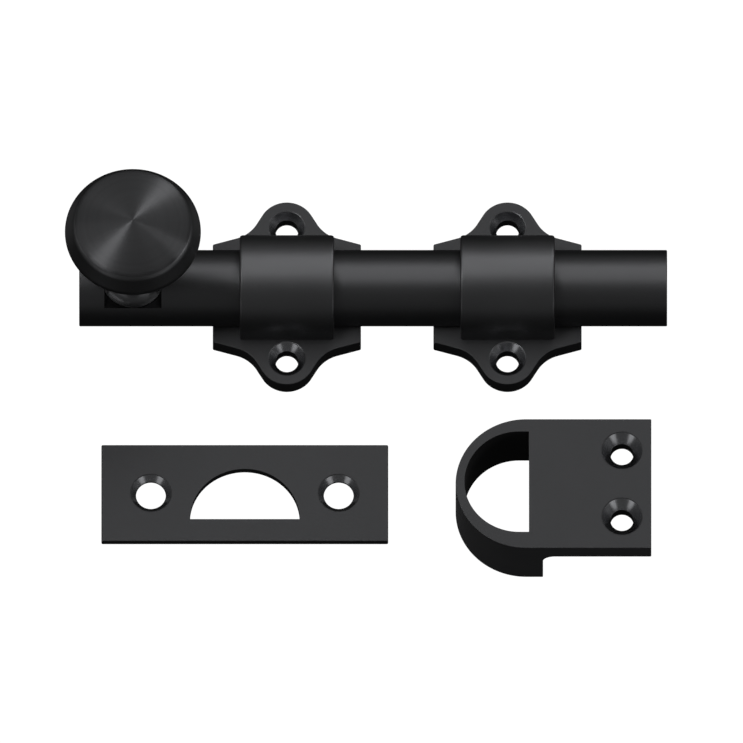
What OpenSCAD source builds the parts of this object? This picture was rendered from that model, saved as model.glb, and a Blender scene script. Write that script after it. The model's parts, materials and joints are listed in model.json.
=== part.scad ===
// Surface bolt kit: a half-round slide bar with a round knob runs in two screwed-on
// guides, with a mortise strike plate and a rim strike laid beside it on the same plane.
// +X is the throw direction, +Z points away from the door face at z = 0, and the origin
// is the centre of the four guide screws on that face.

/* [Slide bar] */
// Length of the slide bar
bar_l = 146.05; // [120:0.05:190]
// Diameter of the bar's round face
bar_d = 19.05; // [15.5:0.05:23]
// Distance from the bar's axis down to its flat back
bar_flat = 2.9; // [2:0.1:4]
// Chamfer on the two ends of the bar
bar_chamfer = 0.9; // [0.3:0.1:1.5]
// Travel of the bar from open to thrown
throw = 19.05; // [12:0.05:23]
// Depth of the knob's seat below the crown of the bar
seat_depth = 4.05; // [3:0.05:5]
// Distance from the bar's open end to the knob's axis
knob_inset = 13.35; // [11:0.05:18]

/* [Knob] */
// Radius of the knob's head
head_r = 16.9; // [12:0.1:22]
// Height of the head's side, from its underside to the edge of its face
head_t = 7.7; // [5:0.1:9]
// Radius of the head's face
face_r = 13.5; // [10:0.1:15]
// Rise of the domed face above its edge
dome_h = 2.1; // [1:0.1:3]
// Height of the knob's stem, from its seat to the head
stem_h = 27; // [20:0.5:36]
// Radius of the knob's stem
stem_r = 4.6; // [4:0.1:6]
// Radius of the foot that sits on the bar
foot_r = 7.7; // [6.5:0.1:7.7]
// Width across the foot's two flats
foot_w = 13.8; // [11:0.1:15]

/* [Guides] */
// Distance between the centres of the two guides
guide_pitch = 54.8; // [50:0.1:68]
// Width of a guide's plate along the bar
plate_w = 36.8; // [34:0.1:46]
// Thickness of a guide's plate
plate_t = 5; // [4:0.1:7]
// Length of the sleeve around the bar
sleeve_l = 23.5; // [18:0.1:30]
// Wall of the sleeve at the sides of the bar
sleeve_wall = 2.975; // [2:0.025:4]
// Extra wall at the crown of the sleeve
crown_rise = 1.5; // [0.5:0.1:3]
// Chamfer on the ends of the sleeve
sleeve_chamfer = 0.7; // [0.3:0.1:1.2]
// Distance from the side of the sleeve to a screw's axis
screw_offset = 5.15; // [4.6:0.05:8]
// Radius of the rounded lobe around a screw
lobe_r = 7; // [6:0.1:9]
// Slope of the lobe's flanks, in degrees
flank_slope = 59; // [45:1:62]
// Slope of the plate's shoulders, in degrees
shoulder_slope = 16; // [5:1:20]
// Radius of the hollow between a flank and a shoulder
hollow_r = 8.6; // [3:0.2:10]
// Distance that the plate's corners stand out past the sleeve
corner_out = 0.7; // [0.5:0.1:2]

/* [Strikes] */
// Clearance around the bar in both strikes
strike_clear = 4.1; // [2:0.1:6]
// Thickness of the flat strike plate
strike_t = 2.2; // [1.6:0.1:4]
// Metal above the flat strike's opening
strike_top_rail = 6.6; // [4:0.1:10]
// Metal below the flat strike's opening
strike_bottom_rail = 6; // [4:0.1:10]
// Distance from the opening's side to a strike screw
strike_web = 9.7; // [8:0.1:14]
// Distance from a strike screw to the end of the plate
strike_end = 12.3; // [8:0.1:16]
// Depth of the rim strike's loop
rim_h = 18; // [14:0.5:24]
// Thickness of the rim strike's plate
rim_plate_t = 5.5; // [4:0.1:7]
// Width of the rim strike's plate past the loop's flat wall
rim_plate_w = 26.9; // [22:0.1:34]
// Wall of the loop at its two sides
rim_side = 3.9; // [3:0.1:6]
// Wall of the loop at its nose
rim_nose = 2.2; // [1.8:0.1:4]
// Offset of the loop's opening towards its upper side
rim_offset = 0.5; // [0:0.1:1]
// Thickness of the loop's flat wall
rim_wall = 3.5; // [2.5:0.1:5]
// Slack between the back of the bar and the loop's flat wall
rim_slack = 3.6; // [1:0.1:6]
// Radius of the hollow between the flat wall and the plate
rim_hollow = 3; // [2:0.1:5]
// Distance between the two rim strike screws
rim_pitch = 17.9; // [14:0.1:22]
// Distance from a rim strike screw to the end of the plate
rim_end = 7.3; // [6:0.1:9]

/* [Screw holes] */
// Diameter of the guide and rim strike screw holes
hole_d = 5.7; // [4.5:0.1:6.5]
// Diameter of a guide's countersink at the surface
guide_sink_d = 9; // [7.5:0.1:10]
// Diameter of the rim strike's countersinks at the surface
rim_sink_d = 10; // [8:0.1:11]
// Diameter of the flat strike's screw holes
strike_hole_d = 7.4; // [5:0.1:8]
// Diameter of the flat strike's countersinks at the surface
strike_sink_d = 10.1; // [8.5:0.1:11.5]
// Included angle of every countersink, in degrees
sink_angle = 82; // [80:1:100]

/* [Spring, stop and knob screw] */
// Thickness of the leaf spring
spring_t = 0.5; // [0.3:0.1:0.8]
// Width of the leaf spring
spring_w = 8; // [6:0.5:10]
// Length of the leaf spring
spring_l = 30; // [24:1:34]
// Height of the spring's bow
spring_bow = 1.2; // [0.8:0.1:2]
// Diameter of the stop screw's head
stop_d = 5; // [4:0.1:6]
// Reach of the stop screw below the bar
stop_reach = 3.6; // [2.5:0.1:4.5]
// Diameter of the stop screw's thread
stop_thread_d = 3.5; // [3:0.1:4]
// Depth of the stop screw's thread in the bar
stop_thread_l = 6; // [4:0.5:7]
// Diameter of the knob screw's thread
knob_screw_d = 4.8; // [4:0.1:5]
// Diameter of the knob screw's head
knob_screw_head_d = 9.2; // [8:0.1:10]
// Length of the knob screw's thread inside the knob
knob_thread_l = 12; // [8:0.5:16]
// Width of the driver slots
driver_w = 1; // [0.6:0.1:1.2]
// Depth of the driver slots
driver_depth = 1; // [0.6:0.1:1.4]

/* [Fits] */
// Running gap between the bar and its guides
slide_gap = 0.1; // [0.05:0.01:0.1]
// Gap between the knob's foot and the walls of its seat
foot_gap = 0.2; // [0.1:0.05:0.5]
// Gap between the stop screw's head and the sides of its slot
stop_gap = 0.25; // [0.1:0.05:0.5]
// Gap left at each end of the stop slot when the bar is at its limit
stop_end_gap = 0.05; // [0.02:0.01:0.1]
// Gap around the leaf spring in its pocket
spring_gap = 0.25; // [0.1:0.05:0.5]
// Gap around the knob screw's shank in the bar
shank_gap = 0.1; // [0.05:0.05:0.3]
// Gap between the knob's foot and the left sleeve when the bar is thrown
knob_stand_off = 0.55; // [0.3:0.05:3]

/* [Kit layout] */
// Distance from the guides down to the two strikes
row_gap = 15.1; // [8:0.1:30]
// Place of the flat strike's centre along the bar
strike_x = -37.85; // [-60:0.05:-30]
// Place of the rim strike's nose along the bar
rim_x = 14.5; // [8:0.5:40]

/* [Hidden] */
$fn = 96;
satin_black = [0.15, 0.152, 0.158];
blackened = [0.22, 0.22, 0.23];
spring_steel = [0.6, 0.61, 0.63];
past = 1;                 // how far a cutter runs past the face it cuts
arc_steps = 14;           // straight steps in an outline's round stretch

bar_r = bar_d / 2;
bar_z = plate_t + slide_gap + bar_flat;
bar_back = bar_z - bar_flat;
seat_z = bar_z + bar_r - seat_depth;
seat_l = foot_w + 2 * foot_gap;

sleeve_r = bar_r + slide_gap + sleeve_wall;
sleeve_z = bar_z + crown_rise;
screw_y = sleeve_r + screw_offset;
guide_half_h = screw_y + lobe_r;
guide_x = guide_pitch / 2;

knob_x = -guide_x - sleeve_l / 2 - knob_stand_off - throw - foot_w / 2;
bar_x0 = knob_x - knob_inset;

stop_x = -guide_x - throw / 2;
spring_x = guide_x - throw / 2;

row_y = -guide_half_h - row_gap;
open_r = bar_r + strike_clear;
strike_h = strike_bottom_rail + open_r + strike_top_rail;
strike_screw_x = open_r + strike_web;
strike_l = 2 * (strike_screw_x + strike_end);
strike_y = row_y - strike_h / 2;
rim_r = open_r + rim_side;
rim_y = row_y - rim_r;
rim_wall_x = rim_x + rim_nose + rim_slack + bar_r + bar_flat;
rim_right = rim_wall_x + rim_wall + rim_plate_w;
rim_screw_x = rim_right - rim_end;

// Points along an arc about c, from angle a0 to angle a1
function arc(c, r, a0, a1) =
    [for (i = [0:arc_steps]) let (a = a0 + (a1 - a0) * i / arc_steps) c + r * [cos(a), sin(a)]];

// Where the line through p along u meets the line through q along v
function meet(p, u, q, v) = p + u * cross(q - p, v) / cross(u, v);

// The same points in the opposite order, without the one that both lists would hold
function reversed(points) = [for (i = [len(points) - 2:-1:0]) points[i]];

// One quarter of a guide plate's outline, from the tip of the lobe to the corner
function guide_quarter() =
    let (
        lobe = [0, screw_y],
        flank_start = lobe + lobe_r * [sin(flank_slope), cos(flank_slope)],
        corner = [plate_w / 2, sleeve_r + corner_out],
        root = meet(flank_start, [cos(flank_slope), -sin(flank_slope)],
                    corner, [-cos(shoulder_slope), sin(shoulder_slope)]),
        bisector = 90 - (flank_slope + shoulder_slope) / 2,
        reach = hollow_r / cos((flank_slope - shoulder_slope) / 2),
        hollow = root + reach * [cos(bisector), sin(bisector)]
    )
    concat(
        arc(lobe, lobe_r, 90, 90 - flank_slope),
        arc(hollow, hollow_r, 270 - flank_slope, 270 - shoulder_slope),
        [corner]
    );

// The whole outline of a guide plate
function guide_outline() =
    let (
        upper = guide_quarter(),
        right = concat(upper, [for (p = reversed(concat(upper, [upper[0]]))) [p.x, -p.y]]),
        left = [for (p = reversed(right)) if (p.x > 0) [-p.x, p.y]]
    )
    concat(right, left);

// Lays what is modelled up the Z axis along the X axis instead
module along_x() {
    rotate([0, 90, 0]) children();
}

// A round rod centred on the origin and lying along X, with chamfered ends
module chamfered_rod(l, r, chamfer) {
    along_x() rotate_extrude() polygon([
        [0, -l / 2], [r - chamfer, -l / 2], [r, -l / 2 + chamfer],
        [r, l / 2 - chamfer], [r - chamfer, l / 2], [0, l / 2]
    ]);
}

// A screw hole down from the top face at z, with its countersink
module countersunk_hole(z, d, sink_d) {
    sink = (sink_d - d) / 2 / tan(sink_angle / 2);
    translate([0, 0, -past]) cylinder(d = d, h = z + 2 * past);
    translate([0, 0, z - sink]) cylinder(d1 = d, d2 = sink_d, h = sink);
    translate([0, 0, z]) cylinder(d = sink_d, h = past);
}

// A round-ended slot along X, cut up from z = 0
module slot(l, w, h) {
    for (side = [-1, 1]) translate([side * (l - w) / 2, 0, -past]) cylinder(d = w, h = h + past);
    translate([-(l - w) / 2, -w / 2, -past]) cube([l - w, w, h + past]);
}

// The leaf spring's side view, bowed down from its two ends
module bowed_leaf(l, bow, t) {
    r = (l * l / 4 + bow * bow) / (2 * bow);
    half = asin(l / 2 / r);
    polygon(concat(
        arc([0, r], r, 270 - half, 270 + half),
        arc([0, r], r - t, 270 + half, 270 - half)
    ));
}

module slide_bar() {
    pocket = spring_bow + spring_t - slide_gap / 2;
    pocket_l = spring_l + 2 * spring_gap;
    pocket_w = spring_w + 2 * spring_gap;
    shank_d = knob_screw_d + 2 * shank_gap;
    sink = (knob_screw_head_d - shank_d) / 2 / tan(sink_angle / 2);
    color(satin_black) difference() {
        translate([bar_x0 + bar_l / 2, 0, bar_z]) chamfered_rod(bar_l, bar_r, bar_chamfer);
        translate([bar_x0 - past, -bar_d, bar_back - bar_d]) cube([bar_l + 2 * past, 2 * bar_d, bar_d]);
        translate([knob_x - seat_l / 2, -bar_d, seat_z]) cube([seat_l, 2 * bar_d, bar_d]);
        translate([spring_x - pocket_l / 2, -pocket_w / 2, bar_back - past])
            cube([pocket_l, pocket_w, pocket + past]);
        translate([stop_x, 0, bar_back - past]) cylinder(d = stop_thread_d, h = stop_thread_l + past);
        translate([knob_x, 0, bar_back - past]) cylinder(d = shank_d, h = bar_d);
        translate([knob_x, 0, bar_back]) cylinder(d1 = knob_screw_head_d, d2 = shank_d, h = sink);
        translate([knob_x, 0, bar_back - past]) cylinder(d = knob_screw_head_d, h = past);
    }
}

module knob() {
    foot_lip = 0.3;
    flare = foot_r - stem_r;
    throat = 4.5;
    nose_r = 2.2;
    nose_turn = 23;
    edge_r = 3;
    face_z = stem_h + head_t;
    dome_r = (face_r * face_r + dome_h * dome_h) / (2 * dome_h);
    dome_turn = asin(face_r / dome_r);
    edge = [face_r - edge_r * sin(dome_turn), face_z - edge_r * cos(dome_turn)];
    color(satin_black) translate([knob_x, 0, seat_z]) difference() {
        rotate_extrude() polygon(concat(
            [[0, 0], [foot_r, 0]],
            arc([foot_r, foot_lip + flare], flare, 270, 180),
            arc([stem_r + throat, stem_h - throat], throat, 180, 90),
            arc([head_r - nose_r, stem_h + nose_r], nose_r, 270, 360 + nose_turn),
            arc(edge, edge_r, nose_turn, 90 - dome_turn),
            arc([0, face_z + dome_h - dome_r], dome_r, 89 - dome_turn, 90)
        ));
        translate([0, 0, -past]) cylinder(d = knob_screw_d, h = knob_thread_l + past);
        for (side = [-1, 1]) translate([side * (foot_w / 2 + foot_r) - foot_r, -foot_r - past, -past])
            cube([2 * foot_r, 2 * (foot_r + past), flare + past]);
    }
}

module knob_screw() {
    shank_l = seat_z - bar_back + knob_thread_l;
    shank_d = knob_screw_d + 2 * shank_gap;
    sink = (knob_screw_head_d - shank_d) / 2 / tan(sink_angle / 2);
    tip = 0.6;
    color(blackened) translate([knob_x, 0, bar_back]) difference() {
        union() {
            cylinder(d1 = knob_screw_head_d, d2 = shank_d, h = sink);
            cylinder(d = knob_screw_d, h = shank_l - 2 * tip);
            translate([0, 0, shank_l - 2 * tip])
                cylinder(d1 = knob_screw_d, d2 = knob_screw_d - 2 * tip, h = tip);
        }
        translate([-knob_screw_head_d, -driver_w / 2, -past])
            cube([2 * knob_screw_head_d, driver_w, driver_depth + past]);
    }
}

module friction_spring() {
    color(spring_steel) translate([spring_x, spring_w / 2, bar_back - slide_gap / 2])
        rotate([90, 0, 0]) linear_extrude(spring_w) bowed_leaf(spring_l, spring_bow, spring_t);
}

module stop_screw() {
    color(blackened) translate([stop_x, 0, bar_back]) difference() {
        union() {
            translate([0, 0, -stop_reach]) cylinder(d = stop_d, h = stop_reach);
            cylinder(d = stop_thread_d, h = stop_thread_l - spring_gap);
        }
        translate([-stop_d, -driver_w / 2, -stop_reach - past])
            cube([2 * stop_d, driver_w, driver_depth + past]);
    }
}

// A guide centred on x = 0: its screwed plate, its sleeve, and the channel for the bar
module guide() {
    half_l = sleeve_l / 2;
    difference() {
        union() {
            linear_extrude(plate_t) polygon(guide_outline());
            intersection() {
                translate([0, 0, sleeve_z]) chamfered_rod(sleeve_l, sleeve_r, sleeve_chamfer);
                translate([-sleeve_l, -2 * sleeve_r, plate_t / 2])
                    cube([2 * sleeve_l, 4 * sleeve_r, 2 * sleeve_z + sleeve_r]);
            }
            linear_extrude(sleeve_z) polygon([
                [-half_l, -sleeve_r + sleeve_chamfer], [-half_l + sleeve_chamfer, -sleeve_r],
                [half_l - sleeve_chamfer, -sleeve_r], [half_l, -sleeve_r + sleeve_chamfer],
                [half_l, sleeve_r - sleeve_chamfer], [half_l - sleeve_chamfer, sleeve_r],
                [-half_l + sleeve_chamfer, sleeve_r], [-half_l, sleeve_r - sleeve_chamfer]
            ]);
        }
        intersection() {
            translate([-plate_w / 2, 0, bar_z]) along_x() cylinder(r = bar_r + slide_gap, h = plate_w);
            translate([-plate_w / 2, -bar_d, plate_t]) cube([plate_w, 2 * bar_d, 2 * bar_d]);
        }
        for (side = [-1, 1]) translate([0, side * screw_y, 0])
            countersunk_hole(plate_t, hole_d, guide_sink_d);
    }
}

module guide_left() {
    slot_l = throw + stop_d + 2 * stop_end_gap;
    color(satin_black) translate([-guide_x, 0, 0]) difference() {
        guide();
        slot(slot_l, stop_d + 2 * stop_gap, plate_t + past);
    }
}

module guide_right() {
    color(satin_black) translate([guide_x, 0, 0]) guide();
}

module strike_plate() {
    color(satin_black) translate([strike_x, strike_y, 0]) difference() {
        translate([-strike_l / 2, -strike_h / 2, 0]) cube([strike_l, strike_h, strike_t]);
        translate([0, strike_bottom_rail - strike_h / 2, -past]) intersection() {
            cylinder(r = open_r, h = strike_t + 2 * past);
            translate([-2 * open_r, 0, 0]) cube([4 * open_r, 2 * open_r, strike_t + 2 * past]);
        }
        for (side = [-1, 1]) translate([side * strike_screw_x, 0, 0])
            countersunk_hole(strike_t, strike_hole_d, strike_sink_d);
    }
}

module rim_strike() {
    under = rim_h - rim_plate_t;
    wall_out = rim_wall_x + rim_wall;
    open_x = rim_x + rim_nose + open_r;
    color(satin_black) translate([0, rim_y, 0]) difference() {
        union() {
            intersection() {
                translate([rim_x + rim_r, 0, 0]) cylinder(r = rim_r, h = rim_h);
                translate([rim_x - past, -rim_r, 0]) cube([wall_out - rim_x + past, 2 * rim_r, rim_h]);
            }
            translate([rim_x + rim_r, -rim_r, 0])
                cube([wall_out - rim_x - rim_r, 2 * rim_r, rim_h]);
            translate([rim_x + rim_r, -rim_r, under])
                cube([rim_right - rim_x - rim_r, 2 * rim_r, rim_plate_t]);
            translate([wall_out - past, -rim_r, under - rim_hollow])
                cube([rim_hollow + past, 2 * rim_r, rim_hollow + past]);
        }
        translate([wall_out + rim_hollow, rim_r + past, under - rim_hollow])
            rotate([90, 0, 0]) cylinder(r = rim_hollow, h = 2 * (rim_r + past));
        translate([0, rim_offset, -past]) intersection() {
            union() {
                translate([open_x, 0, 0]) cylinder(r = open_r, h = rim_h + 2 * past);
                translate([open_x, -open_r, 0]) cube([open_r, 2 * open_r, rim_h + 2 * past]);
            }
            translate([rim_x, -rim_r, 0]) cube([rim_wall_x - rim_x, 2 * rim_r, rim_h + 2 * past]);
        }
        for (side = [-1, 1]) translate([rim_screw_x, side * rim_pitch / 2, 0])
            countersunk_hole(rim_h, hole_d, rim_sink_d);
    }
}

slide_bar();
knob();
knob_screw();
friction_spring();
stop_screw();
guide_left();
guide_right();
strike_plate();
rim_strike();
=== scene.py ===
"""Surface bolt kit: the finished look of the bolt, its two guides and its two strikes.

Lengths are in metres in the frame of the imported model: +X is the throw of the bar, +Z leaves the
door's face, and the strikes lie on the -Y side of the bolt.
"""

import json
import logging
import math
from collections.abc import Callable, Sequence
from dataclasses import dataclass
from enum import Enum

import bpy
from mathutils import Matrix, Vector


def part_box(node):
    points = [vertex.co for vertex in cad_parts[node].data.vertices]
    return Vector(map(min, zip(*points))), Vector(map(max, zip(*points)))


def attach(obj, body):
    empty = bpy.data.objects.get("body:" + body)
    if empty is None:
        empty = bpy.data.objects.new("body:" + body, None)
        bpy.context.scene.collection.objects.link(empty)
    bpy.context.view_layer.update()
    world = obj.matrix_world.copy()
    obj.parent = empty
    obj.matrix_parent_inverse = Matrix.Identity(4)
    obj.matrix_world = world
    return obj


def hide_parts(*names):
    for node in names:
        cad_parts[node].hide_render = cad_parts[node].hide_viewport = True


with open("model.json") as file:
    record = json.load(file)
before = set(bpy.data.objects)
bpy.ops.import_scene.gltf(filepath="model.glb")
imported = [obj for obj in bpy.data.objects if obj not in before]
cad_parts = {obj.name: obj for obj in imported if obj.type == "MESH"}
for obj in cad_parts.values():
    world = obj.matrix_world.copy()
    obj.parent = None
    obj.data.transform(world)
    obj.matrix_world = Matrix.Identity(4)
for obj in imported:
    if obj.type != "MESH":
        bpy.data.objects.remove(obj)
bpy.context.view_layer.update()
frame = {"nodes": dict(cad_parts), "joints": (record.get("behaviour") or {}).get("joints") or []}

MM = 0.001
ARC_STEP = math.radians(2.5)      # longest turn between two points of a round outline
SPIN_STEPS = 144                  # faces round a turned piece
SMOOTH_ANGLE = math.radians(24)   # edges sharper than this stay crisp
ACROSS = 0.25                     # quarter turn that lays a sheen across the rings
COOL = (1.0, 1.012, 1.05)
HOLE_STEPS = 64                   # faces round a screw hole in the bar
SINK_STEPS = 72                   # faces round a countersink
SQUARE = 0.99                     # a normal nearer than this to an axis lies along it
PAST = 1.0 * MM                   # how far a cutter runs on past what it cuts
TOUCH = 0.05 * MM                 # slack for telling which surface a face lies in
log = logging.getLogger("surface_bolt")

Point = tuple[float, float]
Object = bpy.types.Object
Material = bpy.types.Material
Rule = Callable[[Vector, Vector], int]


class Cut(Enum):
    """How one solid acts on another."""

    ADD = "UNION"
    TAKE = "DIFFERENCE"
    KEEP = "INTERSECT"


class Lay(Enum):
    """The way that the marks of a finish run."""

    CAST = "cast_grain"
    DRAWN = "drawn_lines"
    TURNED = "turned_rings"


class Plane(Enum):
    """The plane that a flat outline is drawn in, by its two axes and its third."""

    XY = (0, 1, 2)
    XZ = (0, 2, 1)
    YZ = (1, 2, 0)


# ---------------------------------------------------------------- outlines


def arc(centre: Point, radius: float, start: float, end: float) -> list[Point]:
    """Points along an arc.

    Args:
        centre: The arc's centre.
        radius: Its radius.
        start: The angle of its first point, in degrees.
        end: The angle of its last point, in degrees.

    Returns:
        The points from start to end, both included.
    """
    turn = math.radians(end - start)
    steps = max(2, math.ceil(abs(turn) / ARC_STEP))
    angles = [math.radians(start) + turn * i / steps for i in range(steps + 1)]
    return [(centre[0] + radius * math.cos(a), centre[1] + radius * math.sin(a)) for a in angles]


def meeting(p: Vector, u: Vector, q: Vector, v: Vector) -> Vector:
    """Where the line through p along u meets the line through q along v."""
    return p + u * ((q - p).cross(v) / u.cross(v))


def mirrored(points: Sequence[Point], sx: int, sy: int) -> list[Point]:
    """The points with the sign of each axis given by sx and sy."""
    return [(sx * x, sy * y) for x, y in points]


def without_repeats(points: Sequence[Point]) -> list[Point]:
    """The closed outline with points that lie on their neighbour left out."""
    kept: list[Point] = []
    for p in points:
        if not kept or math.dist(p, kept[-1]) > 1e-6:
            kept.append(p)
    while math.dist(kept[0], kept[-1]) < 1e-6:
        kept.pop()
    return kept


# ---------------------------------------------------------------- modelling by hand


class Bench:
    """The modelling moves, each made with Blender's own operators."""

    @staticmethod
    def only(obj: Object) -> None:
        """Selects one object and nothing else."""
        if bpy.context.mode != "OBJECT":
            bpy.ops.object.mode_set(mode="OBJECT")
        bpy.ops.object.select_all(action="DESELECT")
        obj.select_set(True)
        bpy.context.view_layer.objects.active = obj

    @staticmethod
    def trace(name: str, points: Sequence[Point], plane: Plane, depth: float) -> Object:
        """Draws a line by extruding one vertex from point to point.

        Args:
            name: Name of the new object.
            points: The points of the line.
            plane: The plane that it lies in.
            depth: Its place along the plane's third axis.

        Returns:
            The line, still in edit mode with all of it selected.
        """
        a, b, c = plane.value
        places = []
        for p in points:
            place = [0.0, 0.0, 0.0]
            place[a], place[b], place[c] = p[0], p[1], depth
            places.append(Vector(place))
        if bpy.context.mode != "OBJECT":
            bpy.ops.object.mode_set(mode="OBJECT")
        bpy.ops.object.select_all(action="DESELECT")
        bpy.ops.mesh.primitive_plane_add(size=MM, location=places[0])
        obj = bpy.context.object
        obj.name = name
        bpy.ops.object.transform_apply(location=True, rotation=True, scale=True)
        bpy.ops.object.mode_set(mode="EDIT")
        bpy.ops.mesh.select_all(action="SELECT")
        bpy.ops.mesh.merge(type="CENTER")
        for here, there in zip(places, places[1:]):
            bpy.ops.mesh.extrude_region_move(TRANSFORM_OT_translate={"value": there - here})
        bpy.ops.mesh.select_all(action="SELECT")
        return obj

    @staticmethod
    def prism(name: str, points: Sequence[Point], plane: Plane, low: float, high: float) -> Object:
        """Fills an outline and extrudes it into a solid.

        Args:
            name: Name of the new object.
            points: The closed outline, each corner once.
            plane: The plane that it is drawn in.
            low: Where the solid starts along the plane's third axis.
            high: Where it ends.

        Returns:
            The closed solid.
        """
        obj = Bench.trace(name, without_repeats(points), plane, low)
        step = [0.0, 0.0, 0.0]
        step[plane.value[2]] = high - low
        bpy.ops.mesh.edge_face_add()
        bpy.ops.mesh.select_all(action="SELECT")
        bpy.ops.mesh.extrude_region_move(TRANSFORM_OT_translate={"value": Vector(step)})
        Bench.close_up()
        return obj

    @staticmethod
    def turned(name: str, profile: Sequence[Point], centre: Vector, steps: int = SPIN_STEPS) -> Object:
        """Spins a profile about an axis along Z.

        Args:
            name: Name of the new object.
            profile: Points as (radius, height), from the axis back to the axis.
            centre: A point on the axis, at height 0.
            steps: How many faces go round.

        Returns:
            The closed solid.
        """
        points = [(centre.x + r, centre.z + h) for r, h in profile]
        obj = Bench.trace(name, points, Plane.XZ, centre.y)
        bpy.ops.mesh.spin(steps=steps, angle=2 * math.pi, center=centre, axis=(0, 0, 1))
        bpy.ops.mesh.select_all(action="SELECT")
        bpy.ops.mesh.remove_doubles(threshold=1e-6)
        Bench.close_up()
        return obj

    @staticmethod
    def close_up() -> None:
        """Turns every face of the mesh being edited outwards, and leaves edit mode."""
        bpy.ops.mesh.select_all(action="SELECT")
        bpy.ops.mesh.normals_make_consistent(inside=False)
        bpy.ops.object.mode_set(mode="OBJECT")

    @staticmethod
    def block(name: str, low: Vector, high: Vector) -> Object:
        """A box between two corners."""
        corners = [(low.x, low.y), (high.x, low.y), (high.x, high.y), (low.x, high.y)]
        return Bench.prism(name, corners, Plane.XY, low.z, high.z)

    @staticmethod
    def combine(body: Object, tool: Object, how: Cut) -> None:
        """Adds, cuts or keeps the overlap of a second solid, which is used up."""
        Bench.only(body)
        change = body.modifiers.new("shape", "BOOLEAN")
        change.operation = how.value
        change.solver = "EXACT"
        change.object = tool
        bpy.ops.object.modifier_apply(modifier=change.name)
        bpy.data.objects.remove(tool, do_unlink=True)

    @staticmethod
    def pierce(body: Object, outline: Sequence[Point], low: float, high: float) -> None:
        """Cuts an opening straight through a plate that lies between two heights."""
        cutter = Bench.prism("opening", outline, Plane.XY, low - PAST, high + PAST)
        Bench.combine(body, cutter, Cut.TAKE)

    @staticmethod
    def ease_edges(body: Object, width: float, segments: int, above: float) -> None:
        """Rounds or chamfers every edge that turns by more than an angle.

        Args:
            body: The solid.
            width: Width of the rounding.
            segments: Faces across it, 1 for a flat chamfer.
            above: The angle in degrees.
        """
        Bench.only(body)
        bevel = body.modifiers.new("edges", "BEVEL")
        bevel.width = width
        bevel.segments = segments
        bevel.limit_method = "ANGLE"
        bevel.angle_limit = math.radians(above)
        bpy.ops.object.modifier_apply(modifier=bevel.name)

    @staticmethod
    def smooth(body: Object) -> None:
        """Shades round faces smooth and keeps flat ones flat."""
        Bench.only(body)
        bpy.ops.object.shade_smooth_by_angle(angle=SMOOTH_ANGLE)
        weigh = body.modifiers.new("flat_faces", "WEIGHTED_NORMAL")
        weigh.keep_sharp = True
        bpy.ops.object.modifier_apply(modifier=weigh.name)

    @staticmethod
    def dress(body: Object, finishes: Sequence[Material], rule: Rule | None = None) -> None:
        """Gives a body its materials.

        Args:
            body: The finished mesh.
            finishes: Its materials, the main one first.
            rule: Picks a material's place in finishes from a face's centre and normal.
        """
        body.data.materials.clear()
        for finish in finishes:
            body.data.materials.append(finish)
        if rule is not None:
            for face in body.data.polygons:
                face.material_index = rule(face.center, face.normal)


# ---------------------------------------------------------------- finishes


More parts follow.
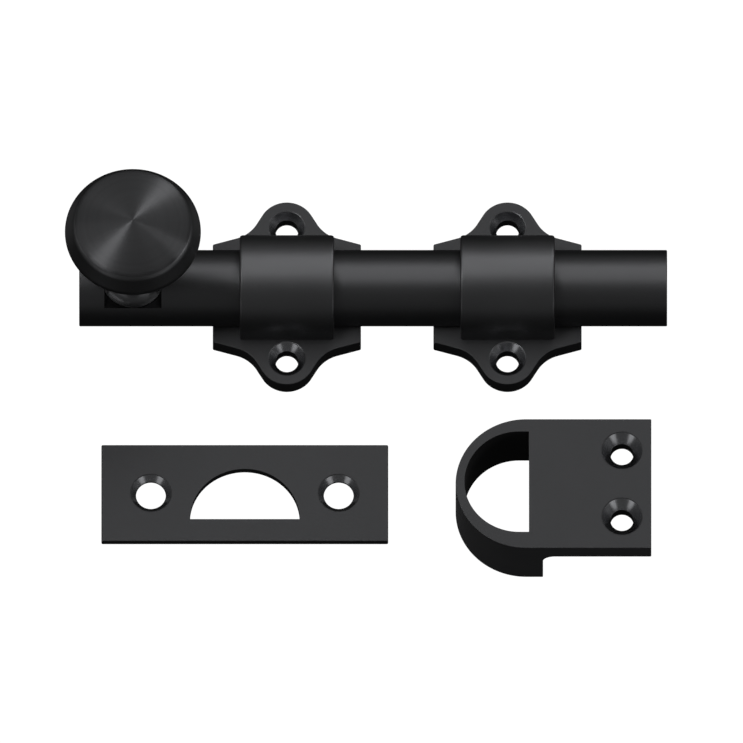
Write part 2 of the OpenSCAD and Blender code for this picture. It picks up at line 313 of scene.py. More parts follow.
class Pattern:
    """Builds each finish's pattern once, as a shader node group."""

    fine_detail: float = 3.0            # octaves of the pebble's noise
    line_detail: float = 4.0            # octaves of the drawn lines' noise
    broad_detail: float = 2.0           # octaves of the slow changes of tone
    cast_scale: float = 60.0            # slow changes to the metre, on a cast piece
    drawn_scale: float = 180.0          # the same, across a drawn bar
    along: tuple[float, float, float] = (0.04, 1.0, 1.0)     # draws the lines out along X
    ring_pitch: float = 1.6 * MM        # the slow changes from ring to ring

    def __init__(self, lay: Lay) -> None:
        """Opens the group of one lay, with the sockets that all of them share."""
        self.tree = bpy.data.node_groups.new(lay.value, "ShaderNodeTree")
        sockets = self.tree.interface
        sockets.new_socket("Vector", in_out="INPUT", socket_type="NodeSocketVector")
        for name in ("Pitch", "Roughness", "Spread"):
            sockets.new_socket(name, in_out="INPUT", socket_type="NodeSocketFloat")
        for name in ("Roughness", "Height", "Shade"):
            sockets.new_socket(name, in_out="OUTPUT", socket_type="NodeSocketFloat")
        self.source = self.tree.nodes.new("NodeGroupInput")
        self.sink = self.tree.nodes.new("NodeGroupOutput")
        {Lay.CAST: self.cast, Lay.DRAWN: self.drawn, Lay.TURNED: self.turned}[lay]()

    def node(self, kind: str, **settings: object) -> bpy.types.Node:
        """Adds a node and sets its properties."""
        made = self.tree.nodes.new(kind)
        for name, value in settings.items():
            setattr(made, name, value)
        return made

    def link(self, start: bpy.types.NodeSocket, end: bpy.types.NodeSocket) -> None:
        """Joins two sockets."""
        self.tree.links.new(start, end)

    def maths(self, operation: str, a: object, b: object) -> bpy.types.NodeSocket:
        """One step of arithmetic on two sockets or numbers."""
        made = self.node("ShaderNodeMath", operation=operation)
        for value, socket in zip((a, b), made.inputs):
            if isinstance(value, bpy.types.NodeSocket):
                self.link(value, socket)
            else:
                socket.default_value = value
        return made.outputs[0]

    def put_out(self, fine: bpy.types.NodeSocket, broad: bpy.types.NodeSocket) -> None:
        """Turns a fine and a broad pattern, both 0 to 1, into the group's three outputs."""
        swing = self.maths("SUBTRACT", self.maths("ADD", fine, broad), 1.0)
        spread = self.maths("MULTIPLY", swing, self.source.outputs["Spread"])
        rough = self.maths("ADD", self.source.outputs["Roughness"], spread)
        self.link(rough, self.sink.inputs["Roughness"])
        self.link(fine, self.sink.inputs["Height"])
        self.link(broad, self.sink.inputs["Shade"])

    def noise(self, vector: bpy.types.NodeSocket, scale: object, detail: float) -> bpy.types.NodeSocket:
        """A soft noise from 0 to 1."""
        made = self.node("ShaderNodeTexNoise")
        made.inputs["Detail"].default_value = detail
        self.link(vector, made.inputs["Vector"])
        if isinstance(scale, bpy.types.NodeSocket):
            self.link(scale, made.inputs["Scale"])
        else:
            made.inputs["Scale"].default_value = scale
        return made.outputs["Fac"]

    def cast(self) -> None:
        """The even pebble of a satin coat over cast metal."""
        scale = self.maths("DIVIDE", 1.0, self.source.outputs["Pitch"])
        fine = self.noise(self.source.outputs["Vector"], scale, self.fine_detail)
        broad = self.noise(self.source.outputs["Vector"], self.cast_scale, self.broad_detail)
        self.put_out(fine, broad)

    def drawn(self) -> None:
        """Long faint lines along X, as on a drawn and polished bar."""
        stretch = self.node("ShaderNodeVectorMath", operation="MULTIPLY")
        stretch.inputs[1].default_value = self.along
        self.link(self.source.outputs["Vector"], stretch.inputs[0])
        scale = self.maths("DIVIDE", 1.0, self.source.outputs["Pitch"])
        fine = self.noise(stretch.outputs[0], scale, self.line_detail)
        broad = self.noise(stretch.outputs[0], self.drawn_scale, self.broad_detail)
        self.put_out(fine, broad)

    def turned(self) -> None:
        """Rings about the Z axis through the origin of Vector, as a lathe leaves them."""
        split = self.node("ShaderNodeSeparateXYZ")
        self.link(self.source.outputs["Vector"], split.inputs[0])
        squares = [self.maths("POWER", self.maths("ABSOLUTE", side, 0.0), 2.0) for side in split.outputs[:2]]
        radius = self.maths("SQRT", self.maths("ADD", *squares), 0.0)
        rings = []
        for pitch in (self.source.outputs["Pitch"], self.ring_pitch):
            noise = self.node("ShaderNodeTexNoise", noise_dimensions="1D")
            noise.inputs["Scale"].default_value = 1.0
            noise.inputs["Detail"].default_value = self.broad_detail
            self.link(self.maths("DIVIDE", radius, pitch), noise.inputs["W"])
            rings.append(noise.outputs["Fac"])
        self.put_out(*rings)


def pattern(lay: Lay) -> bpy.types.NodeTree:
    """The node group of a lay, built the first time that it is asked for."""
    return bpy.data.node_groups.get(lay.value) or Pattern(lay).tree


@dataclass(frozen=True)
class Finish:
    """One finish, and how to make its material."""

    name: str
    colour: tuple[float, float, float]
    roughness: float
    metallic: float = 1.0
    specular: float = 0.5
    edge_tint: float = 1.0
    lay: Lay = Lay.CAST
    pitch: float = 0.35 * MM
    spread: float = 0.06
    relief: float = 0.004 * MM
    shade: float = 0.12
    anisotropy: float = 0.0
    centre: tuple[float, float, float] = (0.0, 0.0, 0.0)

    def material(self) -> Material:
        """The material, built the first time that it is asked for.

        Returns:
            A Principled material with the lay's pattern in its colour, roughness and bump.
        """
        known = bpy.data.materials.get(self.name)
        if known is not None:
            return known
        made = bpy.data.materials.new(self.name)
        made.use_nodes = True
        nodes, links = made.node_tree.nodes, made.node_tree.links
        surface = nodes["Principled BSDF"]
        surface.inputs["Metallic"].default_value = self.metallic
        surface.inputs["Specular IOR Level"].default_value = self.specular
        surface.inputs["Specular Tint"].default_value = (*[self.edge_tint] * 3, 1.0)
        surface.inputs["Anisotropic"].default_value = self.anisotropy
        surface.inputs["Anisotropic Rotation"].default_value = ACROSS if self.anisotropy else 0.0

        where = nodes.new("ShaderNodeTexCoord")
        place = nodes.new("ShaderNodeMapping")
        place.inputs["Location"].default_value = [-c for c in self.centre]
        links.new(where.outputs["Object"], place.inputs["Vector"])
        marks = nodes.new("ShaderNodeGroup")
        marks.node_tree = pattern(self.lay)
        marks.inputs["Pitch"].default_value = self.pitch
        marks.inputs["Roughness"].default_value = self.roughness
        marks.inputs["Spread"].default_value = self.spread
        links.new(place.outputs["Vector"], marks.inputs["Vector"])
        links.new(marks.outputs["Roughness"], surface.inputs["Roughness"])

        tint = nodes.new("ShaderNodeMix")
        tint.data_type = "RGBA"
        dark, light = (socket for socket in tint.inputs if socket.type == "RGBA")
        dark.default_value = (*[c * (1 - self.shade) for c in self.colour], 1.0)
        light.default_value = (*[c * (1 + self.shade) for c in self.colour], 1.0)
        blend = next(socket for socket in tint.outputs if socket.type == "RGBA")
        links.new(marks.outputs["Shade"], tint.inputs[0])
        links.new(blend, surface.inputs["Base Color"])

        bump = nodes.new("ShaderNodeBump")
        bump.inputs["Strength"].default_value = 1.0
        bump.inputs["Distance"].default_value = self.relief
        links.new(marks.outputs["Height"], bump.inputs["Height"])
        links.new(bump.outputs["Normal"], surface.inputs["Normal"])
        if self.anisotropy:
            around = nodes.new("ShaderNodeTangent")
            around.direction_type = "RADIAL"
            around.axis = "Z"
            links.new(around.outputs["Tangent"], surface.inputs["Tangent"])
        return made


def grey(level: float) -> tuple[float, float, float]:
    """A faintly cool grey of the given reflectance."""
    red, green, blue = (level * part for part in COOL)
    return (red, green, blue)


BAR_BLACK = Finish("satin_bar", grey(0.160), 0.42, lay=Lay.DRAWN, pitch=0.18 * MM, relief=0.002 * MM)
# The sleeve's black is a lighter copy of the coat, a painted sheen; the plates' black is a darker copy,
# painted shade on the flat faces, besides their rougher satin.
SLEEVE_PAINTED_SHEEN = Finish("satin_sleeve_painted_sheen", grey(0.205), 0.42)
PLATE_PAINTED_SHADE = Finish("satin_plate_painted_shade", grey(0.113), 0.55)
SINK_BLACK = Finish("turned_sink", grey(0.45), 0.24)
# Near black on the knob's seat: painted shade for the recess under the knob's head.
SEAT_PAINTED_SHADE = Finish("seat_painted_shade", grey(0.03), 0.45)
FOOT_BLACK = Finish("polished_foot", grey(0.22), 0.42)
# The rim strike's outer walls take a lighter copy of the black coat: painted light on its sides.
WALL_PAINTED_LIGHT = Finish("satin_wall_painted_light", grey(0.33), 0.50)
SIDE_BLACK = Finish("satin_knob_side", grey(0.16), 0.42)
RIM_BLACK = Finish("satin_knob_rim", grey(0.17), 0.42)
SCREW_BLACK = Finish("satin_screw", grey(0.2), 0.38, pitch=0.2 * MM)
SPRING_STEEL = Finish("drawn_spring", grey(0.5), 0.3, lay=Lay.DRAWN, pitch=0.1 * MM)


# ---------------------------------------------------------------- the bolt


@dataclass
class SlideBar:
    """The half-round bar, with the knob's seat across it and the spring's pocket in its back."""

    chamfer: float = 0.9 * MM
    corner: float = 0.22 * MM
    foot_half: float = 6.9 * MM
    foot_gap: float = 0.2 * MM
    spring_gap: float = 0.25 * MM
    screw_hole: float = 2.5 * MM
    sink_half_angle: float = 41.0

    def __post_init__(self) -> None:
        """Reads the bar's section and its neighbours from the frame."""
        self.low, self.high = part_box("slide_bar")
        self.radius = self.high.y
        self.axis_z = self.high.z - self.radius
        self.seat_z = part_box("knob")[0].z
        self.knob_x = sum(c.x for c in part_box("knob")) / 2
        self.screw_low, self.screw_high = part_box("knob_screw")
        self.spring_low, self.spring_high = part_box("friction_spring")

    def section(self) -> list[Point]:
        """The D-shaped section: a round face, a flat back and two small corners."""
        flat = self.axis_z - self.low.z
        centre_y = math.sqrt((self.radius - self.corner) ** 2 - (flat - self.corner) ** 2)
        turn = math.degrees(math.asin((flat - self.corner) / (self.radius - self.corner)))
        corner_z = self.low.z + self.corner
        return [
            *arc((0, self.axis_z), self.radius, -turn, 180 + turn),
            *arc((-centre_y, corner_z), self.corner, 180 + turn, 270),
            *arc((centre_y, corner_z), self.corner, 270, 360 - turn),
        ]

    def build(self) -> Object:
        """Makes the bar.

        Returns:
            The bar, dressed and riding on the bolt.
        """
        bar = Bench.prism("slide_bar_finished", self.section(), Plane.YZ, self.low.x, self.high.x)
        Bench.ease_edges(bar, self.chamfer, segments=1, above=60)
        seat = self.foot_half + self.foot_gap
        Bench.combine(bar, Bench.block(
            "seat", Vector((self.knob_x - seat, -self.radius - PAST, self.seat_z)),
            Vector((self.knob_x + seat, self.radius + PAST, self.high.z + PAST))), Cut.TAKE)
        gap = Vector((self.spring_gap, self.spring_gap, 0.0))
        Bench.combine(bar, Bench.block(
            "pocket", Vector((*(self.spring_low - gap).xy, self.low.z - PAST)),
            self.spring_high + gap), Cut.TAKE)
        self.drill_for_knob_screw(bar)
        Bench.smooth(bar)

        def rule(middle: Vector, normal: Vector) -> int:
            """1 for the floor and the two walls of the knob's seat, which carry the painted shade, 0 for the
            rest.
            """
            in_seat = abs(middle.x - self.knob_x) < seat + TOUCH and middle.z > self.seat_z - TOUCH
            return int(in_seat and max(abs(normal.x), normal.z) > SQUARE)

        Bench.dress(bar, [BAR_BLACK.material(), SEAT_PAINTED_SHADE.material()], rule)
        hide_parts("slide_bar")
        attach(bar, "bolt")
        return bar

    def drill_for_knob_screw(self, bar: Object) -> None:
        """Cuts the countersunk hole of the knob's screw in the bar's back."""
        head = (self.screw_high.y - self.screw_low.y) / 2
        sink = (head - self.screw_hole) / math.tan(math.radians(self.sink_half_angle))
        through = 2 * self.radius
        profile = [(0, -PAST), (head, -PAST), (head, 0),
                   (self.screw_hole, sink), (self.screw_hole, through), (0, through)]
        drill = Bench.turned("screw_hole", profile, Vector((self.knob_x, 0, self.low.z)), HOLE_STEPS)
        Bench.combine(bar, drill, Cut.TAKE)


@dataclass
class Knob:
    """The turned knob: a foot, a stem and a domed head."""

    foot_radius: float = 7.7 * MM
    foot_half: float = 6.9 * MM
    foot_lip: float = 0.3 * MM
    stem_radius: float = 4.6 * MM
    stem_height: float = 27.0 * MM
    throat: float = 4.5 * MM
    nose: float = 2.2 * MM
    nose_turn: float = 23.0
    side_height: float = 7.7 * MM
    face_radius: float = 13.5 * MM
    edge: float = 3.0 * MM
    steepest_face: float = 0.80      # where the face's finish gives way to the edge's
    steepest_edge: float = 0.50      # and the edge's to the side's

    def __post_init__(self) -> None:
        """Reads the knob's axis, height and radius from the frame."""
        low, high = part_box("knob")
        self.centre = Vector(((low.x + high.x) / 2, (low.y + high.y) / 2, low.z))
        self.head_radius = (high.x - low.x) / 2
        self.height = high.z - low.z
        self.flare = self.foot_radius - self.stem_radius

    def profile(self) -> list[Point]:
        """The knob's half section, from the foot's centre round to the top of the dome."""
        face_z = self.stem_height + self.side_height
        rise = self.height - face_z
        dome = (self.face_radius ** 2 + rise ** 2) / (2 * rise)
        turn = math.degrees(math.asin(self.face_radius / dome))
        edge_at = (self.face_radius - self.edge * math.sin(math.radians(turn)),
                   face_z - self.edge * math.cos(math.radians(turn)))
        return [
            (0.0, 0.0),
            (self.foot_radius, 0.0),
            *arc((self.foot_radius, self.foot_lip + self.flare), self.flare, 270, 180),
            *arc((self.stem_radius + self.throat, self.stem_height - self.throat), self.throat, 180, 90),
            *arc((self.head_radius - self.nose, self.stem_height + self.nose), self.nose,
                 270, 360 + self.nose_turn),
            *arc(edge_at, self.edge, self.nose_turn, 90 - turn),
            *arc((0, self.height - dome), dome, 90 - turn, 90)[1:],
        ]

    def build(self) -> Object:
        """Makes the knob.

        Returns:
            The knob, with its face and its sides dressed apart, riding on the bolt.
        """
        knob = Bench.turned("knob_turned", without_repeats(self.profile()), self.centre)
        for side in (-1, 1):
            near, far = sorted((side * self.foot_half, side * 2 * self.foot_radius))
            low = self.centre + Vector((near, -2 * self.foot_radius, -PAST))
            high = self.centre + Vector((far, 2 * self.foot_radius, self.flare))
            Bench.combine(knob, Bench.block("flat", low, high), Cut.TAKE)
        Bench.smooth(knob)
        face = Finish("turned_knob_face", grey(0.112), 0.38, lay=Lay.TURNED, pitch=0.22 * MM,
                      relief=0.0, anisotropy=1.0, centre=tuple(self.centre))
        side_top = self.centre.z + self.stem_height + self.nose + self.nose * math.sin(
            math.radians(self.nose_turn))

        def rule(middle: Vector, normal: Vector) -> int:
            """0 for the domed face, 1 for the sides and stem, 2 for the rounded edge, 3 for the foot."""
            if middle.z < self.centre.z + self.flare:
                return 3
            if middle.z < side_top or normal.z < self.steepest_edge:
                return 1
            return 0 if normal.z > self.steepest_face else 2

        Bench.dress(knob, [face.material(), SIDE_BLACK.material(), RIM_BLACK.material(),
                           FOOT_BLACK.material()], rule)
        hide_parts("knob")
        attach(knob, "bolt")
        return knob


# ---------------------------------------------------------------- the guides


@dataclass(frozen=True)
class Countersink:
    """A screw hole with its countersink and a lightly eased mouth."""

    hole: float
    mouth: float
    ease: float = 0.25 * MM
    half_angle: float = 41.0
    inward: float = 0.40         # the part of the easing that is taken off inside the mouth
    fall: float = 0.46           # its depth, as a part of its width
    steepest: float = 0.1        # the cone's faces have normals that rise by more than this
    flattest: float = 0.9        # and by less than this

    def cut(self, body: Object, places: Sequence[Point], top: float, bottom: float) -> None:
        """Cuts the same hole at each place.

        Args:
            body: The plate.
            places: Where the holes' axes stand.
            top: Height of the surface that the screws' heads sink into.
            bottom: Height of the plate's back.
        """
        sink = (self.mouth - self.hole) / 2 / math.tan(math.radians(self.half_angle))
        rim = self.mouth / 2 + self.ease * (1 - self.inward)
        profile = [
            (0.0, bottom - top - PAST), (self.hole / 2, bottom - top - PAST), (self.hole / 2, -sink),
            (self.mouth / 2 - self.ease * self.inward, -self.ease * self.fall),
            (rim, 0.0), (rim, PAST), (0.0, PAST),
        ]
        for x, y in places:
            cutter = Bench.turned("countersink", profile, Vector((x, y, top)), SINK_STEPS)
            Bench.combine(body, cutter, Cut.TAKE)

    def holds(self, normal: Vector) -> bool:
        """Whether a face's normal has the slope of the cone."""
        return self.steepest < normal.z < self.flattest


@dataclass
class Guide:
    """One guide: a plate with two screw lobes, and the sleeve that the bar runs in."""

    node: str
    name: str
    plate: float = 5.0 * MM
    sleeve_length: float = 23.5 * MM
    sleeve_radius: float = 12.6 * MM
    sleeve_chamfer: float = 0.7 * MM
    lobe: float = 7.0 * MM
    flank_slope: float = 59.0
    shoulder_slope: float = 16.0
    hollow: float = 8.6 * MM
    corner_out: float = 0.7 * MM
    ease: float = 0.3 * MM
    slide_gap: float = 0.1 * MM
    slot_gap: float = 0.25 * MM
    slot_end: float = 0.05 * MM
    sink: Countersink = Countersink(5.7 * MM, 9.0 * MM, flattest=0.95)
    sink_reach: float = 4.8 * MM

    def __post_init__(self) -> None:
        """Reads the guide's place and the bar's section from the frame."""
        self.low, self.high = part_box(self.node)
        self.x = (self.low.x + self.high.x) / 2
        self.half_width = (self.high.x - self.low.x) / 2
        self.screw_y = self.high.y - self.lobe
        self.sleeve_z = self.high.z - self.sleeve_radius
        bar_low, bar_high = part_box("slide_bar")
        self.channel = bar_high.y + self.slide_gap
        self.axis_z = bar_high.z - bar_high.y

    def quarter(self) -> list[Point]:
        """A quarter of the plate's outline, from the lobe's tip to the corner."""
        flank, shoulder = math.radians(self.flank_slope), math.radians(self.shoulder_slope)
        lobe = Vector((0.0, self.screw_y))
        start = lobe + self.lobe * Vector((math.sin(flank), math.cos(flank)))
        corner = Vector((self.half_width, self.sleeve_radius + self.corner_out))
        root = meeting(start, Vector((math.cos(flank), -math.sin(flank))),
                       corner, Vector((-math.cos(shoulder), math.sin(shoulder))))
        way = math.pi / 2 - (flank + shoulder) / 2
        reach = self.hollow / math.cos((flank - shoulder) / 2)
        middle = root + reach * Vector((math.cos(way), math.sin(way)))
        return [
            *arc(tuple(lobe), self.lobe, 90, 90 - self.flank_slope),
            *arc(tuple(middle), self.hollow, 270 - self.flank_slope, 270 - self.shoulder_slope),
            tuple(corner),
        ]

    def outline(self) -> list[Point]:
        """The plate's whole outline, about the guide's own centre moved to its place."""
        upper = self.quarter()
        whole = [*upper, *mirrored(upper, 1, -1)[::-1],
                 *mirrored(upper, -1, -1), *mirrored(upper, -1, 1)[::-1]]
        return [(x + self.x, y) for x, y in whole]

    def build(self) -> Object:
        """Makes the guide.

        Returns:
            The guide, dressed and riding on the fixed pieces.
        """
        plate = Bench.prism(self.name, self.outline(), Plane.XY, self.low.z, self.low.z + self.plate)
        Bench.ease_edges(plate, self.ease, segments=2, above=40)
        Bench.combine(plate, self.sleeve(), Cut.ADD)
        Bench.combine(plate, self.bore(), Cut.TAKE)
        plate_top = self.low.z + self.plate
        self.sink.cut(plate, [(self.x, -self.screw_y), (self.x, self.screw_y)], plate_top, self.low.z)
        self.open_slot(plate)
        Bench.smooth(plate)
        half = self.sleeve_length / 2 + TOUCH

        def rule(middle: Vector, normal: Vector) -> int:
            """Which finish a face takes: 0 the plate, in its painted shade, 1 the sleeve, in its painted
            sheen, 2 a countersink.
            """
            if middle.z > plate_top + TOUCH and abs(middle.x - self.x) < half:
                return 1
            off_axis = math.dist((middle.x, abs(middle.y)), (self.x, self.screw_y))
            return 2 if off_axis < self.sink_reach and self.sink.holds(normal) else 0

        Bench.dress(plate, [PLATE_PAINTED_SHADE.material(), SLEEVE_PAINTED_SHEEN.material(), SINK_BLACK.material()], rule)
        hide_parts(self.node)
        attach(plate, "fixed_kit")
        return plate

    def sleeve(self) -> Object:
        """The sleeve before its bore is cut: an arch on straight sides, with chamfered ends."""
        radius = self.sleeve_radius
        arch = [(-radius, self.low.z + self.plate / 2), *arc((0, self.sleeve_z), radius, 180, 0),
                (radius, self.low.z + self.plate / 2)]
        half = self.sleeve_length / 2
        sleeve = Bench.prism("sleeve", arch, Plane.YZ, self.x - half, self.x + half)
        Bench.ease_edges(sleeve, self.sleeve_chamfer, segments=2, above=60)
        return sleeve

    def bore(self) -> Object:
        """The solid that cuts the D-shaped channel for the bar."""
        floor = self.low.z + self.plate
        turn = math.degrees(math.asin((self.axis_z - floor) / self.channel))
        round_face = arc((0, self.axis_z), self.channel, -turn, 180 + turn)
        return Bench.prism("bore", round_face, Plane.YZ, self.low.x - PAST, self.high.x + PAST)

    def open_slot(self, plate: Object) -> None:
        """Cuts the stop screw's slot, in the guide that has one."""
        stop_low, stop_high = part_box("stop_screw")
        if not self.low.x < stop_low.x < self.high.x:
            return
        travel = frame["joints"][0]["range_m"][1]
        radius = (stop_high.x - stop_low.x) / 2
        width = radius + self.slot_gap
        inset = self.slot_gap - self.slot_end
        start, end = stop_low.x + radius + inset, stop_high.x - radius + travel - inset
        outline = [*arc((start, 0), width, 90, 270), *arc((end, 0), width, 270, 450)]
        Bench.pierce(plate, outline, self.low.z, self.low.z + self.plate)


# ---------------------------------------------------------------- the strikes


@dataclass
class StrikePlate:
    """The flat strike, with its half-moon opening."""

    open_radius: float = 13.625 * MM
    bottom_rail: float = 6.0 * MM
    web: float = 9.7 * MM
    ease: float = 0.35 * MM
    sink: Countersink = Countersink(7.4 * MM, 10.1 * MM)

    def build(self) -> Object:
        """Makes the flat strike.

        Returns:
            The strike, dressed and riding on the fixed pieces.
        """
        low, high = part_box("strike_plate")
        plate = Bench.block("strike_plate_finished", low, high)
        Bench.ease_edges(plate, self.ease, segments=2, above=40)
        middle, base = (low.x + high.x) / 2, low.y + self.bottom_rail
        moon = [(middle + x, base + y) for x, y in arc((0, 0), self.open_radius, 0, 180)]
        Bench.pierce(plate, moon, low.z, high.z)
        reach, middle_y = self.open_radius + self.web, (low.y + high.y) / 2
        self.sink.cut(plate, [(middle - reach, middle_y), (middle + reach, middle_y)], high.z, low.z)
        Bench.smooth(plate)

        def rule(centre: Vector, normal: Vector) -> int:
            """1 for a countersink, 0 elsewhere, in the plates' painted shade."""
            return int(self.sink.holds(normal) and low.y + PAST < centre.y < high.y - PAST)

        Bench.dress(plate, [PLATE_PAINTED_SHADE.material(), SINK_BLACK.material()], rule)
        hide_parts("strike_plate")
        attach(plate, "fixed_kit")
        return plate


@dataclass
class RimStrike:
    """The rim strike: a screwed plate with a deep D-shaped loop."""

    open_radius: float = 13.625 * MM
    open_length: float = 16.025 * MM
    nose: float = 2.2 * MM
    offset: float = 0.5 * MM
    wall: float = 3.5 * MM
    plate: float = 5.5 * MM
    hollow: float = 3.0 * MM
    pitch: float = 17.9 * MM
    end: float = 7.3 * MM
    ease: float = 0.4 * MM
    sink: Countersink = Countersink(5.7 * MM, 10.0 * MM)
    sink_reach: float = 5.3 * MM
    flattest_wall: float = 0.3       # walls have normals that rise by less than this

    def build(self) -> Object:
        """Makes the rim strike.

        Returns:
            The strike, dressed and riding on the fixed pieces.
        """
        low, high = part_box("rim_strike")
        middle_y = (low.y + high.y) / 2
        radius = (high.y - low.y) / 2
        wall_x = low.x + self.nose + self.open_length
        wall_out = wall_x + self.wall
        under = high.z - self.plate
        side = [(low.x - PAST, low.z), (wall_out, low.z),
                *arc((wall_out + self.hollow, under - self.hollow), self.hollow, 180, 90),
                (high.x, under), (high.x, high.z), (low.x - PAST, high.z)]
        strike = Bench.prism("rim_strike_finished", side, Plane.XZ, low.y, high.y)
        nose_x = low.x + radius
        round_nose = [*arc((nose_x, middle_y), radius, 90, 270),
                      (high.x + PAST, low.y), (high.x + PAST, high.y)]
        keep = Bench.prism("nose", round_nose, Plane.XY, low.z - PAST, high.z + PAST)
        Bench.combine(strike, keep, Cut.KEEP)
        Bench.ease_edges(strike, self.ease, segments=2, above=40)

        open_x, open_y = low.x + self.nose + self.open_radius, middle_y + self.offset
        loop = [*arc((open_x, open_y), self.open_radius, 90, 270),
                (wall_x, open_y - self.open_radius), (wall_x, open_y + self.open_radius)]
        Bench.pierce(strike, loop, low.z, high.z)
        screw_x = high.x - self.end
        rows = (middle_y - self.pitch / 2, middle_y + self.pitch / 2)
        self.sink.cut(strike, [(screw_x, y) for y in rows], high.z, low.z)
        Bench.smooth(strike)

        def rule(centre: Vector, normal: Vector) -> int:
            """1 for a countersink, 2 for the outer walls in their painted light, 0 elsewhere in the plates'
            painted shade.
            """
            edge = radius - self.ease
            off_middle = abs(centre.y - middle_y)
            near = abs(centre.x - screw_x) < self.sink_reach and off_middle < radius - PAST
            outside = off_middle > edge or (
                centre.x < nose_x and math.dist(centre.xy, (nose_x, middle_y)) > edge)
            if near and self.sink.holds(normal):
                return 1
            return 2 if outside and abs(normal.z) < self.flattest_wall else 0

        Bench.dress(strike, [PLATE_PAINTED_SHADE.material(), SINK_BLACK.material(), WALL_PAINTED_LIGHT.material()], rule)
        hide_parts("rim_strike")
        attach(strike, "fixed_kit")
        return strike


# ---------------------------------------------------------------- the hidden pieces


def dress_hidden_pieces() -> None:
    """Gives the spring and the two screws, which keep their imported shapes, their finishes."""
    for node, finish in (("friction_spring", SPRING_STEEL), ("knob_screw", SCREW_BLACK),
                         ("stop_screw", SCREW_BLACK)):
        Bench.dress(frame["nodes"][node], [finish.material()])
        log.info("%s keeps its packed shape and takes %s", node, finish.name)


# ---------------------------------------------------------------- the studio


@dataclass(frozen=True)
class Softbox:
    name: str
    way: tuple[float, float, float]
    along: tuple[float, float, float]
    length: float
    width: float
    radiance: float

    def hang(self, aim: Vector, distance: float) -> None:
        """Args:
            aim: The point that it faces.
            distance: Its distance from that point.
        """
        lamp = bpy.data.lights.new(self.name, "AREA")
        lamp.shape = "RECTANGLE"
        lamp.size, lamp.size_y = self.length * distance, self.width * distance
        lamp.energy = self.radiance * math.pi * lamp.size * lamp.size_y
        box = bpy.data.objects.new(self.name, lamp)
        bpy.context.scene.collection.objects.link(box)
        back = Vector(self.way).normalized()
        side = Vector(self.along) - back * back.dot(Vector(self.along))
        side.normalize()
        turn = Matrix((side, back.cross(side), back)).transposed()
        box.matrix_world = Matrix.Translation(aim + back * distance) @ turn.to_4x4()
        box.visible_camera = False


LIGHTS = (
    Softbox("strip_near", (-0.372, -0.04, 0.927), (0.62, 0.75, 0.23), 0.26, 0.19, 3.7),
    Softbox("strip_over", (-0.221, 0.14, 0.965), (0.63, 0.75, -0.01), 0.26, 0.17, 1.0),
    Softbox("strip_back", (0.195, 0.636, 0.746), (0.47, 0.56, -0.66), 0.26, 0.17, 1.4),
    Softbox("strip_far", (0.301, 0.762, 0.573), (0.36, 0.43, -0.85), 0.26, 0.18, 2.3),
    Softbox("overhead", (0.05, 0.45, 0.89), (1, 0, 0), 0.90, 0.90, 0.50),
    Softbox("right", (0.86, -0.12, 0.45), (0, 1, 0), 0.35, 0.30, 2.2),
    Softbox("left", (-0.86, 0.1, 0.45), (0, 1, 0), 0.60, 0.30, 0.6),
    Softbox("near_left", (-0.652, -0.726, 0.219), (0, 0, 1), 0.35, 0.40, 0.50),
    Softbox("near_right", (0.652, -0.726, 0.219), (0, 0, 1), 0.35, 0.40, 0.50),
    Softbox("low_left", (-0.72, 0.45, -0.52), (0, 0, 1), 0.60, 0.60, 0.09),
    Softbox("low_right", (0.72, 0.45, -0.52), (0, 0, 1), 0.60, 0.60, 0.09),
)


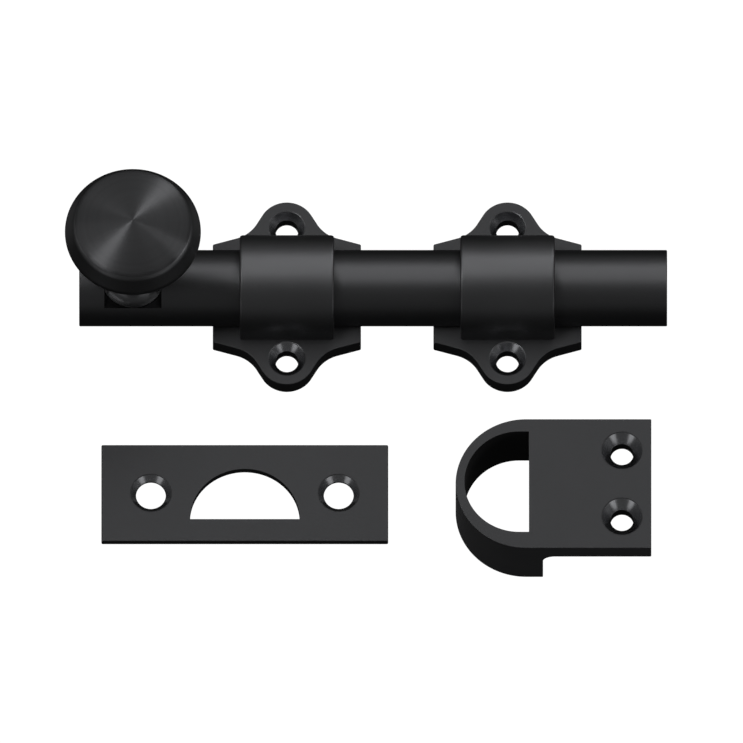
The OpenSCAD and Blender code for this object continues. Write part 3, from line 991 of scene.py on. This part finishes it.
@dataclass
class Studio:
    """The white table, the lights and the camera."""

    elevation: float = 66.2
    aim_x: float = -6.38 * MM
    aim_y: float = -19.05 * MM
    frame_width: float = 184.55 * MM
    distance: float = 1.2
    light_distance: float = 3.0
    above: float = 0.078
    below: float = 0.012
    glow: float = 1.05
    table_size: float = 6.0
    table_drop: float = 0.05 * MM
    light_height: float = 0.01
    horizon: float = 0.15

    def build(self) -> None:
        """Sets the table, the surroundings, the lights and the camera."""
        self.table()
        self.surroundings()
        for light in LIGHTS:
            light.hang(Vector((self.aim_x, self.aim_y, self.light_height)), self.light_distance)
        self.camera()
        bpy.context.scene.view_settings.view_transform = "Standard"

    def table(self) -> None:
        """A plain white table that throws no light of its own back onto the metal."""
        if bpy.context.mode != "OBJECT":
            bpy.ops.object.mode_set(mode="OBJECT")
        bpy.ops.object.select_all(action="DESELECT")
        bpy.ops.mesh.primitive_plane_add(size=self.table_size, location=(0, 0, -self.table_drop))
        table = bpy.context.object
        table.name = "table"
        white = bpy.data.materials.new("table_white")
        white.use_nodes = True
        nodes = white.node_tree.nodes
        nodes.remove(nodes["Principled BSDF"])
        glow = nodes.new("ShaderNodeEmission")
        glow.inputs["Strength"].default_value = self.glow
        white.node_tree.links.new(glow.outputs[0], nodes["Material Output"].inputs["Surface"])
        table.data.materials.append(white)
        table.visible_diffuse = False
        table.visible_glossy = False
        table.visible_shadow = False

    def surroundings(self) -> None:
        """White where the camera looks past the table, and a dim even room for the metal."""
        world = bpy.data.worlds.new("room")
        bpy.context.scene.world = world
        world.use_nodes = True
        nodes, links = world.node_tree.nodes, world.node_tree.links
        room = nodes["Background"]
        room.inputs["Color"].default_value = (1, 1, 1, 1)
        where = nodes.new("ShaderNodeTexCoord")
        split = nodes.new("ShaderNodeSeparateXYZ")
        fade = nodes.new("ShaderNodeMapRange")
        fade.interpolation_type = "SMOOTHSTEP"
        for name, value in (("From Min", -self.horizon), ("From Max", self.horizon),
                            ("To Min", self.below), ("To Max", self.above)):
            fade.inputs[name].default_value = value
        links.new(where.outputs["Generated"], split.inputs[0])
        links.new(split.outputs["Z"], fade.inputs["Value"])
        links.new(fade.outputs["Result"], room.inputs["Strength"])
        seen = nodes.new("ShaderNodeBackground")
        seen.inputs["Color"].default_value = (1, 1, 1, 1)
        seen.inputs["Strength"].default_value = self.glow
        path = nodes.new("ShaderNodeLightPath")
        mix = nodes.new("ShaderNodeMixShader")
        links.new(path.outputs["Is Camera Ray"], mix.inputs[0])
        links.new(room.outputs[0], mix.inputs[1])
        links.new(seen.outputs[0], mix.inputs[2])
        links.new(mix.outputs[0], nodes["World Output"].inputs["Surface"])

    def camera(self) -> None:
        """A long-lens view from above the near side."""
        data = bpy.data.cameras.new("camera")
        data.type = "ORTHO"
        data.ortho_scale = self.frame_width
        data.clip_end = 10.0
        camera = bpy.data.objects.new("camera", data)
        bpy.context.scene.collection.objects.link(camera)
        e = math.radians(self.elevation)
        back = Vector((0.0, -math.cos(e), math.sin(e)))
        camera.location = Vector((self.aim_x, self.aim_y, 0.0)) + back * self.distance
        camera.rotation_euler = (-back).to_track_quat("-Z", "Y").to_euler()
        bpy.context.scene.camera = camera


def main() -> None:
    logging.basicConfig(level=logging.INFO, format="%(message)s")
    makers = [SlideBar(), Knob(), Guide("guide_left", "guide_left_finished"),
              Guide("guide_right", "guide_right_finished"), StrikePlate(), RimStrike()]
    for maker in makers:
        piece = maker.build()
        log.info("%s: %d faces", piece.name, len(piece.data.polygons))
    dress_hidden_pieces()
    Studio().build()


if __name__ == "__main__":
    main()
